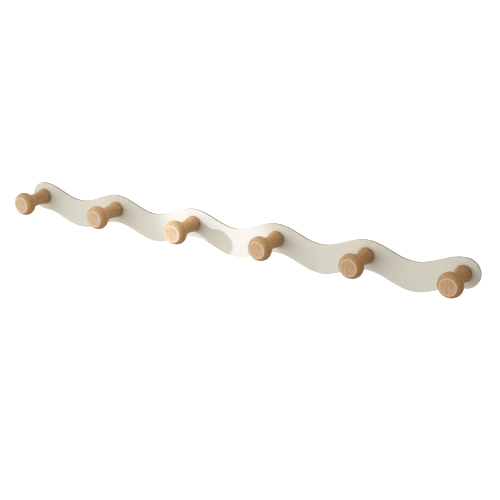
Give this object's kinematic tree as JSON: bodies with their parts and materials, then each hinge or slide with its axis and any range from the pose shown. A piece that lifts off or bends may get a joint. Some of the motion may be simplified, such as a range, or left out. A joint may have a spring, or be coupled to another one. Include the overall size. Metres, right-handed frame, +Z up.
{
  "type": "wall peg rail",
  "caption": "Wall-mounted coat rail: a wavy, round-ended band of cream coated sheet metal with turned wooden pegs on the crests and keyhole hangers behind.",
  "frame": {"origin": "in the plane of the wall, at the middle of the rail's length, level with the seats of the two wall screws, which is also the middle height of the wave", "axes": "+X along the rail to the right as seen from the room, +Y into the wall, +Z up"},
  "size_m": [0.8, 0.0735, 0.067],
  "materials": {
    "rail_coat": "cream powder coat, satin, fine orange peel",
    "hanger_coat": "the same cream powder coat, on the welded hangers",
    "peg_wood": "turned beech, clear matt oil",
    "insert_brass": "knurled and tapped",
    "fastener_steel": "bright zinc plate",
    "bumper_rubber": "matt"
  },
  "bodies": {
    "root": {"rail_band": "rail_coat", "peg_1": "peg_wood", "peg_2": "peg_wood", "peg_3": "peg_wood", "peg_4": "peg_wood", "peg_5": "peg_wood", "peg_6": "peg_wood", "peg_insert_1": "insert_brass", "peg_insert_2": "insert_brass", "peg_insert_3": "insert_brass", "peg_insert_4": "insert_brass", "peg_insert_5": "insert_brass", "peg_insert_6": "insert_brass", "peg_washer_1": "fastener_steel", "peg_washer_2": "fastener_steel", "peg_washer_3": "fastener_steel", "peg_washer_4": "fastener_steel", "peg_washer_5": "fastener_steel", "peg_washer_6": "fastener_steel", "peg_screw_1": "fastener_steel", "peg_screw_2": "fastener_steel", "peg_screw_3": "fastener_steel", "peg_screw_4": "fastener_steel", "peg_screw_5": "fastener_steel", "peg_screw_6": "fastener_steel", "hanger_left": "hanger_coat", "hanger_right": "hanger_coat", "wall_bumper_1": "bumper_rubber", "wall_bumper_2": "bumper_rubber", "wall_bumper_3": "bumper_rubber", "wall_bumper_4": "bumper_rubber"}
  },
  "joints": []
}
